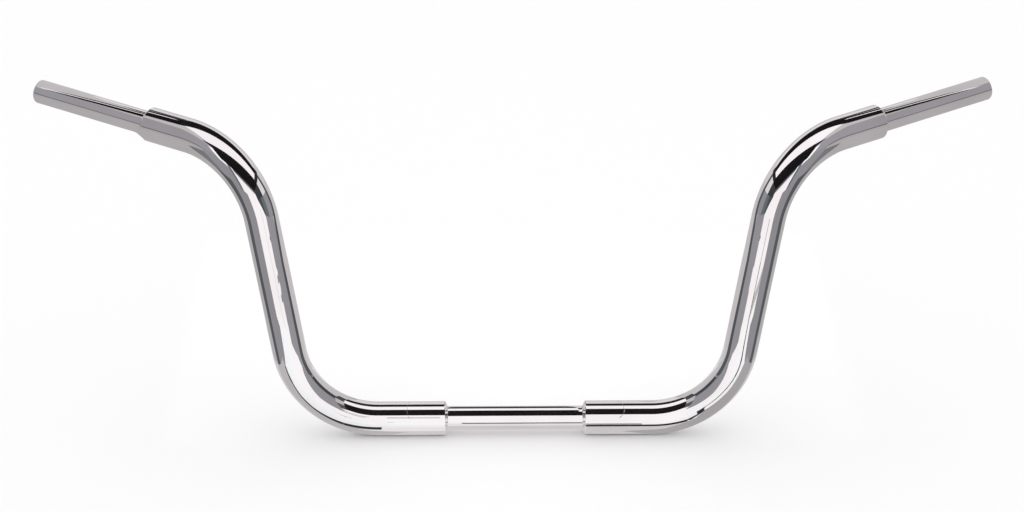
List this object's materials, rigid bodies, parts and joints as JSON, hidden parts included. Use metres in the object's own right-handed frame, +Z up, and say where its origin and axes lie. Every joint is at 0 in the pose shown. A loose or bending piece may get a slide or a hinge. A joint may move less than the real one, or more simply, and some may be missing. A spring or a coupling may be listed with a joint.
{
  "type": "handlebar",
  "caption": "Tall, wide motorcycle handlebar with a thin clamp section, fat bent risers and thin swept-back grip ends, all chrome plated.",
  "frame": {"origin": "middle of the clamp tube, on its axis", "axes": "+X to the rider's left along the clamp tube, +Y back towards the rider, +Z up along the plane of the risers"},
  "size_m": [0.8972, 0.1418, 0.3116],
  "materials": {
    "fat_tube_chrome": "bright chrome plate on bent steel tube",
    "thin_tube_chrome": "bright chrome plate on straight steel tube",
    "weld_chrome": "chrome plate over a dressed weld",
    "bush_steel": "turned, unplated, hidden inside the riser tube"
  },
  "bodies": {
    "root": {"clamp_tube": "thin_tube_chrome", "riser_tube_left": "fat_tube_chrome", "riser_tube_right": "fat_tube_chrome", "grip_tube_left": "thin_tube_chrome", "grip_tube_right": "thin_tube_chrome", "clamp_bush_left": "bush_steel", "clamp_bush_right": "bush_steel", "grip_bush_left": "bush_steel", "grip_bush_right": "bush_steel", "clamp_weld_left": "weld_chrome", "clamp_weld_right": "weld_chrome", "grip_weld_left": "weld_chrome", "grip_weld_right": "weld_chrome"}
  },
  "joints": []
}
